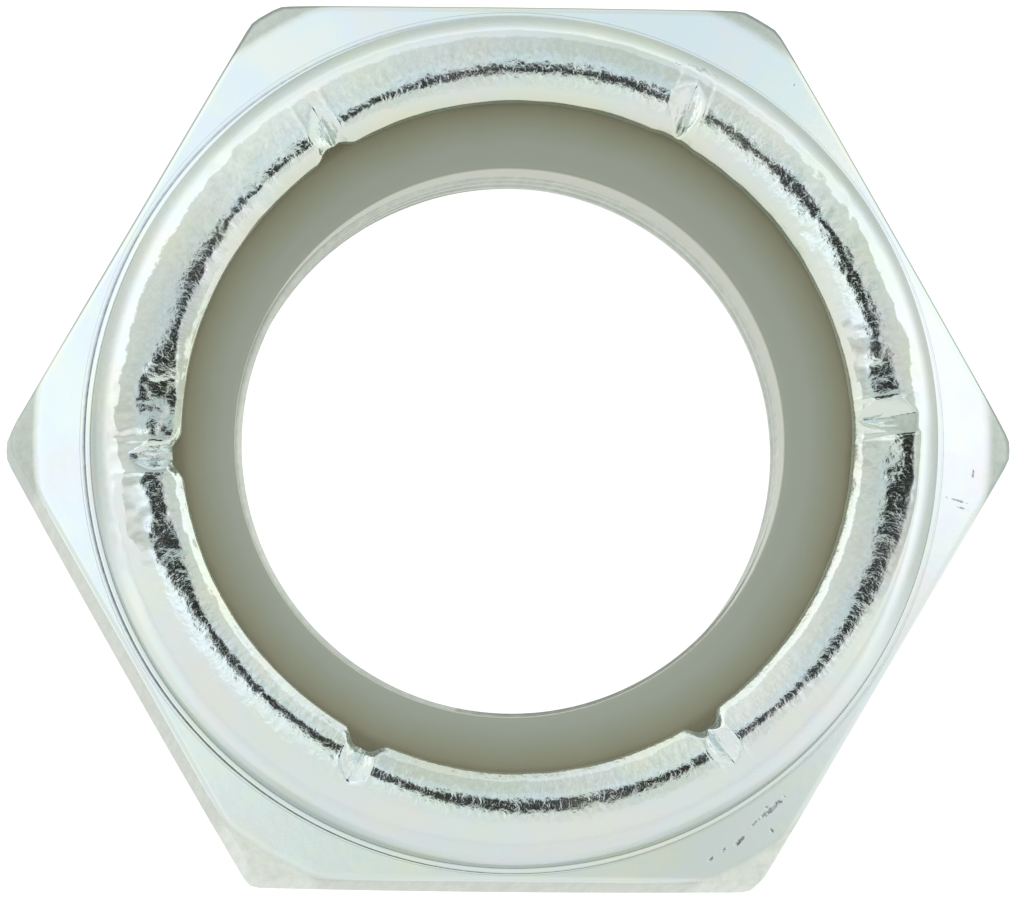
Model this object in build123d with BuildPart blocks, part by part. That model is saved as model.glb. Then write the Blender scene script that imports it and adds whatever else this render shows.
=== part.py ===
"""Thin nylon insert lock nut, 5/8-18 UNF, zinc plated steel with a captive nylon ring.

Frame: millimetres, origin at the centre of the bearing face, +Z along the thread towards
the insert end, +X through a corner of the hexagon.

Two pieces. The steel body is a hexagon with a turned collar on top of it. The nylon ring
drops into the collar's chamber, the collar's wall is rolled inwards over it, and six stakes
are struck into the rolled lip, so that the steel bites into the ring and stops it turning.
"""

from build123d import *
from math import cos, hypot, radians, sin, tan
import os

# ---------------------------------------------------------------- hexagon
across_flats = 23.81            # 15/16 in spanner
hex_height = 6.4                # bearing face to the land at the collar's root
corner_rounding = 1.4           # cold formed vertical corners
bearing_inset = 0.55            # flats to the edge of the bearing circle
bearing_chamfer_angle = 30.0    # degrees from the bearing face
land_inset = 0.155              # flats to the edge of the small land round the collar
land_step = 0.06                # drop from the land to the shallow cone
top_cone_angle = 12.0           # degrees, shallow cone out towards the corners
tip_cone_offset = 1.1           # the steeper cone on the tips starts this far past the flats
tip_cone_angle = 35.0           # degrees
arris_chamfer = 0.12            # broken edge where the sides meet the cones

# ---------------------------------------------------------------- threaded bore at its minor diameter
thread_major = 15.875           # 5/8 in
thread_pitch = 25.4 / 18
minor_allowance = 0.27          # minor diameter over the basic one, class 2B
entry_margin = 0.26             # entry countersink over the major radius
exit_chamfer = 0.50             # where the bore opens into the chamber

# ---------------------------------------------------------------- collar and rolled lip
overall_height = 10.3           # bearing face to the crest of the lip
collar_inset = 0.37             # flats to the collar's wall at its root
root_chamfer = 0.10             # collar wall to land
collar_draft = 0.10             # the wall leans in by this much up to the bend
collar_wall = 1.20              # steel round the chamber
bend_radius = 1.40              # outside radius of the roll
lip_turn_radius = 1.20          # the roll past its crest
lip_slope_angle = 40.0          # degrees, where the roll stops and runs straight to the rim
lip_reach = 1.15                # chamber wall to the inner edge of the lip
lip_thickness = 1.05            # crest to the underside of the lip
lip_rim_chamfer = 0.06          # upper corner of the inner edge
lip_edge_chamfer = 0.18         # lower corner of the inner edge
inner_bend_chamfer = 0.40       # inside corner under the roll
chamber_sink = 0.20             # chamber floor below the land

# ---------------------------------------------------------------- stakes struck into the lip
stake_count = 6
stake_angle = 3.0               # degrees from +X to the first stake
stake_root_width = 0.34
stake_flank_angle = 20.0        # degrees, each side of the groove
stake_run_out = 0.45            # the groove ends this far inside the collar's wall
stake_outer_depth = 0.48        # root of the groove below the crest at its outer end
stake_inner_depth = 0.85        # and at the inner edge of the lip
stake_bite = 0.22               # steel pushed down into the ring at the inner edge of the lip
stake_tab_width = 0.55          # along its lower edge

# ---------------------------------------------------------------- nylon ring
insert_bore_clearance = 0.12    # ring bore over the minor radius of the thread
insert_crown = 0.16             # the squeezed ring swells this much inside the lip
insert_edge_chamfer = 0.20      # both ends of its bore

# ---------------------------------------------------------------- worked out from the above
flat_radius = across_flats / 2
corner_radius = flat_radius / cos(radians(30))
envelope_radius = corner_radius + 1.0
bearing_radius = flat_radius - bearing_inset
envelope_bottom = (envelope_radius - bearing_radius) * tan(radians(bearing_chamfer_angle))
land_radius = flat_radius - land_inset
cone_height = hex_height - land_step
tip_radius = flat_radius + tip_cone_offset
tip_height = cone_height - (tip_radius - land_radius) * tan(radians(top_cone_angle))
envelope_top = tip_height - (envelope_radius - tip_radius) * tan(radians(tip_cone_angle))

minor_radius = (thread_major - 1.082532 * thread_pitch + minor_allowance) / 2
entry_radius = thread_major / 2 + entry_margin
entry_depth = entry_radius - minor_radius

collar_radius = flat_radius - collar_inset
bend_start_radius = collar_radius - collar_draft
bend_start_height = overall_height - bend_radius
crest_radius = bend_start_radius - bend_radius
chamber_radius = bend_start_radius - collar_wall
chamber_floor = hex_height - chamber_sink
lip_underside = overall_height - lip_thickness
lip_edge_height = lip_underside + lip_edge_chamfer
lip_radius = chamber_radius - lip_reach
lip_slope = tan(radians(lip_slope_angle))
slope_start_radius = crest_radius - lip_turn_radius * sin(radians(lip_slope_angle))
slope_start_height = overall_height - lip_turn_radius * (1 - cos(radians(lip_slope_angle)))
rim_height = slope_start_height - (slope_start_radius - lip_radius) * lip_slope

stake_outer_end = (collar_radius - stake_run_out, 0, overall_height - stake_outer_depth)
stake_inner_end = (lip_radius, 0, overall_height - stake_inner_depth)
stake_slope = (stake_outer_end[2] - stake_inner_end[2]) / (stake_outer_end[0] - stake_inner_end[0])
stake_direction = (-1, 0, -stake_slope)
stake_length = hypot(stake_outer_end[0] - stake_inner_end[0], stake_outer_end[2] - stake_inner_end[2])
stake_flank = tan(radians(stake_flank_angle))
groove_height = stake_inner_depth + 0.5
groove_top = stake_root_width / 2 + groove_height * stake_flank
tab_depth = stake_inner_end[2] - lip_underside + stake_bite
tab_length = chamber_radius + 0.1 - lip_radius
tab_outer_end = (chamber_radius + 0.1, 0, stake_inner_end[2] + tab_length * stake_slope)
tab_top = stake_tab_width / 2 + tab_depth * stake_flank

insert_bore_radius = minor_radius + insert_bore_clearance
insert_crown_radius = (lip_radius + insert_bore_radius) / 2

arris_curves = (GeomType.HYPERBOLA, GeomType.BSPLINE)

# ---------------------------------------------------------------- stake tools
# Tapered groove that one stake leaves in the lip, open towards the bore.
with BuildPart() as stake_groove:
    with BuildSketch(Plane(origin=stake_outer_end, x_dir=(0, -1, 0), z_dir=stake_direction)):
        Polygon(
            (-stake_root_width / 2, 0),
            (stake_root_width / 2, 0),
            (groove_top, groove_height),
            (-groove_top, groove_height),
            align=None,
        )
    extrude(amount=stake_length + 1.0)

# Tab of steel that the stake drives down from the underside of the lip into the ring.
with BuildPart() as stake_tab:
    with BuildSketch(Plane(origin=tab_outer_end, x_dir=(0, -1, 0), z_dir=stake_direction)):
        Polygon(
            (-stake_tab_width / 2, -tab_depth),
            (stake_tab_width / 2, -tab_depth),
            (tab_top, 0),
            (-tab_top, 0),
            align=None,
        )
    extrude(amount=tab_length)

# ---------------------------------------------------------------- steel body
with BuildPart() as nut_body:
    # hexagon with rounded corners
    with BuildSketch(Plane.XY):
        RegularPolygon(radius=flat_radius, side_count=6, major_radius=False)
    extrude(amount=hex_height)
    fillet(nut_body.edges().filter_by(Axis.Z), radius=corner_rounding)

    # turned envelope: bearing chamfer below, land, shallow cone and tip cone above
    with BuildSketch(Plane.XZ):
        Polygon(
            (0, 0),
            (bearing_radius, 0),
            (envelope_radius, envelope_bottom),
            (envelope_radius, envelope_top),
            (tip_radius, tip_height),
            (land_radius, cone_height),
            (land_radius, hex_height),
            (0, hex_height),
            align=None,
        )
    revolve(axis=Axis.Z, mode=Mode.INTERSECT)

    # the sides meet the cones in hyperbolas, and in splines round the corners
    arrises = nut_body.edges().filter_by(lambda edge: edge.geom_type in arris_curves)
    chamfer(arrises, length=arris_chamfer)

    # collar: leaning wall, outer bend, crest, inner slope and rim
    with BuildSketch(Plane.XZ):
        with BuildLine():
            Polyline(
                (0, chamber_floor),
                (collar_radius + root_chamfer, chamber_floor),
                (collar_radius + root_chamfer, hex_height),
                (collar_radius, hex_height + root_chamfer),
                (bend_start_radius, bend_start_height),
            )
            CenterArc((crest_radius, bend_start_height), bend_radius, 0, 90)
            CenterArc((crest_radius, overall_height - lip_turn_radius), lip_turn_radius, 90, lip_slope_angle)
            Polyline(
                (slope_start_radius, slope_start_height),
                (lip_radius + lip_rim_chamfer, rim_height + lip_rim_chamfer * lip_slope),
                (lip_radius, rim_height - lip_rim_chamfer),
                (lip_radius, lip_edge_height),
                (0, lip_edge_height),
                (0, chamber_floor),
            )
        make_face()
    revolve(axis=Axis.Z)

    # threaded bore with its countersinks, chamber and opening of the lip
    with BuildSketch(Plane.XZ):
        with BuildLine():
            Polyline(
                (0, lip_edge_height),
                (0, 0),
                (entry_radius, 0),
                (minor_radius, entry_depth),
                (minor_radius, chamber_floor - exit_chamfer),
                (minor_radius + exit_chamfer, chamber_floor),
                (chamber_radius, chamber_floor),
                (chamber_radius, lip_underside - inner_bend_chamfer),
                (chamber_radius - inner_bend_chamfer, lip_underside),
                (lip_radius + lip_edge_chamfer, lip_underside),
                (lip_radius, lip_edge_height),
                close=True,
            )
        make_face()
    revolve(axis=Axis.Z, mode=Mode.SUBTRACT)

    # stakes: the tabs go in first, so that each groove is cut into its own tab
    with PolarLocations(0, stake_count, start_angle=stake_angle):
        add(stake_tab.part)
    with PolarLocations(0, stake_count, start_angle=stake_angle):
        add(stake_groove.part, mode=Mode.SUBTRACT)

# ---------------------------------------------------------------- nylon ring
with BuildPart() as nylon_insert:
    with BuildSketch(Plane.XZ) as ring_section:
        with BuildLine():
            Polyline(
                (insert_bore_radius, lip_underside),
                (insert_bore_radius, chamber_floor),
                (chamber_radius, chamber_floor),
                (chamber_radius, lip_underside - inner_bend_chamfer),
                (chamber_radius - inner_bend_chamfer, lip_underside),
                (lip_radius, lip_underside),
            )
            ThreePointArc(
                (lip_radius, lip_underside),
                (insert_crown_radius, lip_underside + insert_crown),
                (insert_bore_radius, lip_underside),
            )
        make_face()
        bore_corners = ring_section.vertices().group_by(Axis.X)[0]
        chamfer(bore_corners, length=insert_edge_chamfer)
    revolve(axis=Axis.Z)

    # dents pressed into the ring by the tabs
    with PolarLocations(0, stake_count, start_angle=stake_angle):
        add(stake_tab.part, mode=Mode.SUBTRACT)

# ---------------------------------------------------------------- hand over
nut_body.part.label = "nut_body"
nylon_insert.part.label = "nylon_insert"

os.makedirs("parts", exist_ok=True)
export_step(nut_body.part, "parts/nut_body.step")
export_step(nylon_insert.part, "parts/nylon_insert.step")
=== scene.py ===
"""Looks of the thin nylon insert lock nut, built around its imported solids.

The steel body is modelled again in full detail: a hexagon milled from a turned blank, a tapped thread, and
a collar rolled over the nylon ring and struck by six stakes. Lengths are millimetres and angles are
degrees until a piece is finished, and metres after that.
"""
from math import cos, hypot, pi, radians, sin, tan

import bmesh
import bpy
import numpy as np
from mathutils import Matrix, Vector, noise


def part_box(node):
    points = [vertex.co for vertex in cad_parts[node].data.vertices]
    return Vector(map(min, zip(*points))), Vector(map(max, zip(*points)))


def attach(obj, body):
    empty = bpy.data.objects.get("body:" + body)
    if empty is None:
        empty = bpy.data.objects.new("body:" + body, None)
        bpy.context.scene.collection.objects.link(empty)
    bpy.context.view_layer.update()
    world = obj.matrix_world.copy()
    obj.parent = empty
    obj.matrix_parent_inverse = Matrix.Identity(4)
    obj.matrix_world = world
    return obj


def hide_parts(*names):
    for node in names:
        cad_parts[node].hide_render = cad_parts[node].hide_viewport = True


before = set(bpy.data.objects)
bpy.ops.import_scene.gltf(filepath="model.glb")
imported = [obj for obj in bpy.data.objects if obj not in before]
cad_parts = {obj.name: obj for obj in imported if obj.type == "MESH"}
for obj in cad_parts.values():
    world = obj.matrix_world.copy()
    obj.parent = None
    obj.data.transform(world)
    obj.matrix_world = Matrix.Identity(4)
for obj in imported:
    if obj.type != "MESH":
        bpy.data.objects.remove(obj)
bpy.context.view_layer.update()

MM = 0.001

# ---------------------------------------------------------------- sizes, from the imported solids
body_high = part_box("nut_body")[1] / MM
ring_low, ring_high = (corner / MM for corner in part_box("nylon_insert"))
FLAT_RADIUS = body_high.y
TOP = body_high.z
CHAMBER_RADIUS = ring_high.x
CHAMBER_FLOOR = ring_low.z

# hexagon
CORNER_RADIUS = FLAT_RADIUS / cos(radians(30))
BEARING_RADIUS = FLAT_RADIUS - 0.55
BEARING_ANGLE = 30
HEX_TOP = 6.4
LAND_RADIUS = FLAT_RADIUS - 0.155
LAND_STEP = 0.06
SHOULDER = LAND_RADIUS - 0.2
CONE_ANGLE = 12
TIP_RADIUS = FLAT_RADIUS + 1.17
TIP_SHIFT = (0.07, 0.03)
TIP_ANGLE = 35
ARRIS = 0.15
CONE_BLEND = 0.06

# Cold forming rounds each corner differently: how far each is cut back, from the one on +X round.
CORNER_CUTS = (0.15, 0.30, 0.25, 0.15, 0.05, 0.05)
CORNER_SHARPNESS = 400

# 5/8-18 thread
THREAD_MAJOR = 15.875 / 2
THREAD_MINOR = 7.309
PITCH = 25.4 / 18
ENTRY_RADIUS = THREAD_MAJOR + 0.26
EXIT_CHAMFER = 0.5

# collar and its rolled lip
COLLAR_RADIUS = FLAT_RADIUS - 0.37
COLLAR_LEAN = 0.1
ROOT_FILLET = 0.14
BEND = 1.4
CREST_RADIUS = COLLAR_RADIUS - COLLAR_LEAN - BEND
ROLL_TURN = 1.2
LIP_SLOPE = 40
ROLL_RADIUS = CREST_RADIUS - 0.03 - ROLL_TURN * tan(radians(LIP_SLOPE / 2))
LIP_RADIUS = CHAMBER_RADIUS - 1.15
LIP_UNDERSIDE = TOP - 1.05
RIM_TOP = TOP - (ROLL_RADIUS - LIP_RADIUS) * tan(radians(LIP_SLOPE))
RIM_ROUND = 0.06
RIM_SHIFT = (-0.02, -0.05)
ROOT_SHIFT = (0.07, -0.03)
ROOT_ROOM = 0.03
LIP_EDGE = 0.10
UNDER_BEND = 0.4

# nylon ring
RING_BORE = THREAD_MINOR + 0.12
RING_DISH = 0.22
RING_SHIFT = (-0.19, -0.16)

# Each stake: its root's bearing at the rim and at its outer end, the radius of that end, the groove's depth
# there and at the rim, its root's width, the run of its two walls (the one at the larger bearing first),
# and how far the rim is set back in it.
STAKES = (
    (2.9, 3.9, 11.10, 0.17, 0.42, 0.03, 0.50, 0.46, 0.02),
    (62.3, 63.6, 10.95, 0.15, 0.42, 0.04, 0.52, 0.36, 0.06),
    (123.0, 122.6, 10.85, 0.13, 0.35, 0.03, 0.42, 0.33, 0.20),
    (184.2, 183.8, 11.00, 0.12, 0.40, 0.20, 0.30, 0.30, 0.26),
    (243.8, 244.3, 10.75, 0.05, 0.46, 0.02, 0.40, 0.40, 0.36),
    (303.2, 303.8, 10.98, 0.10, 0.38, 0.03, 0.38, 0.34, 0.32),
)
SCORE_WIDTH = 0.09
SCORE_LENGTH = 0.9
SCORE_HEIGHT = 0.010
# The burr beside each groove, how softly the groove meets the lip, and how steeply it runs out.
BURR_HEIGHT = 0.018
BURR_OUT = 0.04
BURR_WIDTH = 0.07
LIP_BLEND = 0.05
WALL_RISE = 4
TAB_DEPTH = 0.42
TAB_WIDTH = 0.60
FINE_ARC = 8.0
FINE_STEPS = 50
COARSE_STEP = 0.5

# The rolled lip's roughness: its waves' lengths and height, the rim's, and where it is roughest, each a
# bearing and a spread.
COARSE_RIPPLE = 0.55
FINE_RIPPLE = 0.24
RIPPLE = 0.028
RIM_RIPPLE = 0.02
RIM_WAVE = 1.3
ROUGH_STRETCHES = ((14, 7), (355, 5), (175, 7), (179, 4), (194, 9), (35, 12), (140, 9))

# Where the crest is flattened: each a bearing, a spread and a depth.
FLATTENED = (
    (9, 8, 0.16),
    (35, 16, 0.06),
    (153, 8, 0.10),
    (175, 8, 0.25),
    (197, 11, 0.16),
    (276, 22, 0.07),
    (338, 9, 0.13),
    (351, 7, 0.16),
)

# The level that flattens the crest, as a depth below the top: it starts above it. It bites softly.
CREST_SINK = -0.10
CREST_BLEND = 0.08

# Where the crest is sharper: each a bearing and a spread.
SHARPENED = ((116, 7), (138, 8), (232, 11), (250, 5), (312, 9))
RIDGE_HEIGHT = 0.035
RIDGE_WIDTH = 0.35

# How far the crest stands out from its mean radius, just after each stake, halfway and just before the next.
CREST_DRIFT = (
    (0.07, 0.05, 0.06),
    (0.05, -0.06, -0.26),
    (-0.32, -0.28, -0.42),
    (-0.08, -0.14, -0.24),
    (-0.10, 0.02, 0.08),
    (0.04, 0.34, 0.56),
)


# ---------------------------------------------------------------- modelling helpers
def start(name, operator, **settings):
    """Adds a primitive with nothing else selected, names it and opens it, selected all over."""
    bpy.ops.object.select_all(action="DESELECT")
    operator(**settings)
    made = bpy.context.object
    made.name = made.data.name = name
    bpy.ops.object.mode_set(mode="EDIT")
    bpy.ops.mesh.select_mode(type="VERT")
    bpy.ops.mesh.select_all(action="SELECT")
    return made


def pick(obj, wanted, kind="VERT"):
    """Selects just the vertices, edges or faces of the open mesh for which wanted says yes."""
    bpy.ops.mesh.select_mode(type=kind)
    bpy.ops.mesh.select_all(action="DESELECT")
    mesh = bmesh.from_edit_mesh(obj.data)
    for element in {"VERT": mesh.verts, "EDGE": mesh.edges, "FACE": mesh.faces}[kind]:
        if wanted(element):
            element.select_set(True)
    bmesh.update_edit_mesh(obj.data)


def near(place):
    """Says yes to the section's vertex at place."""
    return lambda vertex: hypot(vertex.co.x - place[0], vertex.co.z - place[1]) < 1e-3


def along(low, high):
    """Says yes to the section's edges that lie on the line from low to high."""
    a, b = Vector((low[0], 0, low[1])), Vector((high[0], 0, high[1]))
    direction = (b - a).normalized()

    def on_line(vertex):
        reach = (vertex.co - a).dot(direction)
        return -1e-3 < reach < (b - a).length + 1e-3 and (vertex.co - a - direction * reach).length < 1e-3

    return lambda edge: all(on_line(vertex) for vertex in edge.verts)


def draw_section(name, points, rounds=(), cuts=()):
    """Draws a closed half section in the XZ plane, point by point.

    rounds are (corner, length taken off each edge, segments), and cuts are (one end, other end, cuts).
    """
    section = start(name, bpy.ops.mesh.primitive_plane_add, size=1.0)
    bpy.ops.mesh.merge(type="CENTER")
    bpy.ops.transform.translate(value=(points[0][0], 0, points[0][1]))
    for here, there in zip(points, points[1:]):
        step = (there[0] - here[0], 0, there[1] - here[1])
        bpy.ops.mesh.extrude_region_move(TRANSFORM_OT_translate={"value": step})
    pick(section, lambda vertex: len(vertex.link_edges) == 1)
    bpy.ops.mesh.edge_face_add()
    for corner, length, segments in rounds:
        pick(section, near(corner))
        bpy.ops.mesh.bevel(affect="VERTICES", offset=length, segments=segments, clamp_overlap=False)
    for low, high, count in cuts:
        pick(section, along(low, high), "EDGE")
        bpy.ops.mesh.subdivide(number_cuts=count)
    return section


def spin_round(section, sectors):
    """Spins the open section about Z, a sector at a time, and joins the sectors into one closed shape.

    Each sector is (bearing, turns), and its turns are (angle, steps).
    """
    bpy.ops.object.mode_set(mode="OBJECT")
    made = []
    for bearing, turns in sectors:
        bpy.ops.object.select_all(action="DESELECT")
        section.select_set(True)
        bpy.context.view_layer.objects.active = section
        bpy.ops.object.duplicate()
        made.append(bpy.context.object)
        bpy.ops.object.mode_set(mode="EDIT")
        bpy.ops.mesh.select_all(action="SELECT")
        bpy.ops.transform.rotate(value=-radians(bearing), orient_axis="Z", center_override=(0, 0, 0))
        for angle, steps in turns:
            bpy.ops.mesh.spin(steps=steps, angle=-radians(angle), center=(0, 0, 0), axis=(0, 0, 1))
        bpy.ops.object.mode_set(mode="OBJECT")
    bpy.data.objects.remove(section)
    for sector in made:
        sector.select_set(True)
    bpy.context.view_layer.objects.active = made[-1]
    if len(made) > 1:
        bpy.ops.object.join()
    bpy.ops.object.mode_set(mode="EDIT")
    bpy.ops.mesh.select_all(action="SELECT")
    bpy.ops.mesh.remove_doubles(threshold=1e-3)
    bpy.ops.mesh.normals_make_consistent(inside=False)
    bpy.ops.object.mode_set(mode="OBJECT")
    return made[-1]


def apply(obj, kind, **settings):
    """Adds a modifier with its settings and applies it."""
    bpy.ops.object.select_all(action="DESELECT")
    bpy.context.view_layer.objects.active = obj
    modifier = obj.modifiers.new(kind.lower(), kind)
    for name, value in settings.items():
        setattr(modifier, name, value)
    bpy.ops.object.modifier_apply(modifier=modifier.name)


def combine(obj, other, operation):
    """Joins other to obj or cuts it out of obj, and removes it."""
    apply(obj, "BOOLEAN", operation=operation, object=other, solver="EXACT")
    bpy.data.objects.remove(other)


def get_points(obj):
    """The places of the object's vertices, a row each."""
    points = np.zeros(len(obj.data.vertices) * 3, np.float32)
    obj.data.vertices.foreach_get("co", points)
    return points.reshape(-1, 3).astype(float)


def set_points(obj, points):
    """Puts the object's vertices in new places."""
    obj.data.vertices.foreach_set("co", points.astype(np.float32).ravel())
    obj.data.update()


def smooth_step(low, high, value):
    """0 below low, 1 above high, and smooth between."""
    share = np.clip((value - low) / (high - low), 0, 1)
    return share * share * (3 - 2 * share)


def soft_min(a, b, width):
    """The lower of a and b, rounded where they cross."""
    share = np.clip(0.5 + 0.5 * (b - a) / width, 0, 1)
    return b + (a - b) * share - width * share * (1 - share)


# ---------------------------------------------------------------- steel body
def hexagon_reach(angle):
    """Distance from the axis to the hexagon, its corners cut back, in a direction in radians."""
    sides = [(30 + 60 * at, FLAT_RADIUS) for at in range(6)]
    sides += [(60 * at, CORNER_RADIUS - cut) for at, cut in enumerate(CORNER_CUTS)]
    away = [distance / np.maximum(np.cos(angle - radians(bearing)), 0.3) for bearing, distance in sides]
    nearest = np.min(away, axis=0)
    return nearest * np.sum((nearest / away) ** CORNER_SHARPNESS, axis=0) ** (-1 / CORNER_SHARPNESS)


def cone_height(radius, off_centre=0.0):
    """Height of the hexagon's top: a shallow cone from the land, and a steeper one on the tips."""
    shallow = HEX_TOP - LAND_STEP - (radius - LAND_RADIUS) * tan(radians(CONE_ANGLE))
    tip_start = HEX_TOP - LAND_STEP - (TIP_RADIUS - LAND_RADIUS) * tan(radians(CONE_ANGLE))
    steep = tip_start - (radius - TIP_RADIUS - off_centre) * tan(radians(TIP_ANGLE))
    return soft_min(shallow, steep, CONE_BLEND)


def bearing_height(radius):
    """Height of the chamfer round the bearing face."""
    return (radius - BEARING_RADIUS) * tan(radians(BEARING_ANGLE))


def mill_hexagon(blank, top):
    """Brings the turned blank in to the hexagon and its cones, and rounds its arrises."""
    points = get_points(blank)
    radius, angle = np.hypot(points[:, 0], points[:, 1]), np.arctan2(points[:, 1], points[:, 0])
    height = points[:, 2].copy()
    reach = hexagon_reach(angle)

    def top_height(distance):
        return cone_height(distance, TIP_SHIFT[0] * np.cos(angle) + TIP_SHIFT[1] * np.sin(angle))

    share = np.clip((height - ARRIS) / (top - 2 * ARRIS), 0, 1)
    low, high = bearing_height(reach) + ARRIS, top_height(reach) - ARRIS
    on_side = radius > CORNER_RADIUS - 1e-3
    points[:, 2] = np.where(on_side, low + share * (high - low), height)
    new_radius = np.where(on_side, reach, radius)
    for inner, surface, inwards, depth in (
        (SHOULDER, top_height, -1, top - height),
        (BEARING_RADIUS, bearing_height, 1, height),
    ):
        on_cone = (depth < 1e-3) & (radius > inner + 1e-3)
        across = inner + (radius - inner) * (reach - ARRIS - inner) / (CORNER_RADIUS - ARRIS - inner)
        turn = np.clip(depth / ARRIS, 0, 1)
        on_arris = (turn > 0.01) & (turn < 0.99) & (radius > CORNER_RADIUS - ARRIS)
        edge = surface(reach)
        rounded = (1 - turn) ** 2 * surface(reach - ARRIS) + 2 * turn * (1 - turn) * edge
        rounded += turn**2 * (edge + inwards * ARRIS)
        points[:, 2] = np.where(on_cone, surface(across), np.where(on_arris, rounded, points[:, 2]))
        new_radius = np.where(
            on_arris,
            reach - ARRIS * (1 - turn) ** 2,
            np.where(on_cone, across, new_radius),
        )
    points[:, 0], points[:, 1] = new_radius * np.cos(angle), new_radius * np.sin(angle)
    set_points(blank, points)


def tap():
    """Threaded rod, right-handed, at the thread's major radius, that cuts the thread."""
    core = THREAD_MINOR - 0.1
    flank = (THREAD_MAJOR - core) * tan(radians(30))
    crest = PITCH / 8
    rod = start("tap", bpy.ops.mesh.primitive_plane_add, size=1.0)
    bpy.ops.mesh.merge(type="CENTER")
    bpy.ops.transform.translate(value=(core, 0, -2 * PITCH))
    rise = (
        (0, PITCH - crest - 2 * flank),
        (THREAD_MAJOR - core, flank),
        (0, crest),
        (core - THREAD_MAJOR, flank),
    )
    for out, up in rise:
        bpy.ops.mesh.extrude_region_move(TRANSFORM_OT_translate={"value": (out, 0, up)})
    bpy.ops.object.mode_set(mode="OBJECT")
    apply(
        rod,
        "SCREW",
        angle=2 * pi,
        screw_offset=PITCH,
        iterations=8,
        steps=144,
        render_steps=144,
        use_merge_vertices=True,
        merge_threshold=1e-4,
    )
    bpy.ops.object.mode_set(mode="EDIT")
    for height, below in ((-0.5, True), (HEX_TOP + 0.5, False)):
        bpy.ops.mesh.select_all(action="SELECT")
        bpy.ops.mesh.bisect(
            plane_co=(0, 0, height),
            plane_no=(0, 0, 1),
            use_fill=True,
            clear_inner=below,
            clear_outer=not below,
        )
    bpy.ops.mesh.select_all(action="SELECT")
    bpy.ops.mesh.remove_doubles(threshold=1e-4)
    bpy.ops.mesh.normals_make_consistent(inside=False)
    bpy.ops.object.mode_set(mode="OBJECT")
    return rod


def hexagon():
    """Turned blank milled to a hexagon: bearing chamfer, cones, bore with its thread, chamber floor."""
    under_collar = (CHAMBER_RADIUS + LAND_RADIUS) / 2
    top = cone_height(SHOULDER)
    points = (
        (ENTRY_RADIUS, 0),
        (BEARING_RADIUS, 0),
        (CORNER_RADIUS - ARRIS, 0),
        (CORNER_RADIUS, ARRIS),
        (CORNER_RADIUS, top - ARRIS),
        (CORNER_RADIUS - ARRIS, top),
        (SHOULDER, top),
        (under_collar, top),
        (under_collar, CHAMBER_FLOOR),
        (THREAD_MINOR + EXIT_CHAMFER, CHAMBER_FLOOR),
        (THREAD_MINOR, CHAMBER_FLOOR - EXIT_CHAMFER),
        (THREAD_MINOR, ENTRY_RADIUS - THREAD_MINOR),
    )
    cuts = [(points[at], points[at + 1], count) for at, count in ((1, 5), (2, 3), (3, 7), (4, 3), (5, 17))]
    blank = spin_round(draw_section("hexagon", points, cuts=cuts), [(0, [(360, 360)])])
    mill_hexagon(blank, top)
    combine(blank, tap(), "DIFFERENCE")
    return blank


def stake_sectors():
    """Spin sectors that each start half a fine arc before a stake, fine across it and coarser to the next."""
    bearings = [stake[0] for stake in STAKES]
    sectors = []
    for here, there in zip(bearings, bearings[1:] + [bearings[0] + 360]):
        gap = there - here - FINE_ARC
        sectors.append((here - FINE_ARC / 2, [(FINE_ARC, FINE_STEPS), (gap, round(gap / COARSE_STEP))]))
    return sectors


def collar():
    """Rolled collar with its land, as a closed ring that stands in the hexagon."""
    foot = CHAMBER_FLOOR - 0.2
    wall_top = COLLAR_RADIUS - COLLAR_LEAN * (TOP - HEX_TOP) / (TOP - BEND - HEX_TOP)
    points = (
        (LAND_RADIUS, foot),
        (LAND_RADIUS, HEX_TOP),
        (COLLAR_RADIUS, HEX_TOP),
        (wall_top, TOP),
        (ROLL_RADIUS, TOP),
        (LIP_RADIUS, RIM_TOP),
        (LIP_RADIUS, LIP_UNDERSIDE),
        (CHAMBER_RADIUS, LIP_UNDERSIDE),
        (CHAMBER_RADIUS, foot),
    )
    rounds = [
        (points[1], 0.04, 2),
        (points[2], ROOT_FILLET, 5),
        (points[3], BEND, 24),
        (points[4], ROLL_TURN * tan(radians(LIP_SLOPE / 2)), 12),
        (points[5], RIM_ROUND, 3),
        (points[6], LIP_EDGE, 2),
        (points[7], UNDER_BEND, 3),
    ]
    cuts = [(points[at], points[at + 1], count) for at, count in ((2, 3), (4, 3), (5, 4), (6, 4))]
    ring = spin_round(draw_section("collar", points, rounds, cuts), stake_sectors())
    roll_unevenly(ring)
    for stake in STAKES:
        strike(ring, *stake)
    ripple(ring)
    return ring


def polar(points):
    """Radius and bearing in degrees, from 0 to 360, of each point."""
    return np.hypot(points[:, 0], points[:, 1]), np.degrees(np.arctan2(points[:, 1], points[:, 0])) % 360


def turned(angle, centre):
    """Signed angle in degrees from centre to angle, from -180 to 180."""
    return (angle - centre + 180) % 360 - 180


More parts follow.
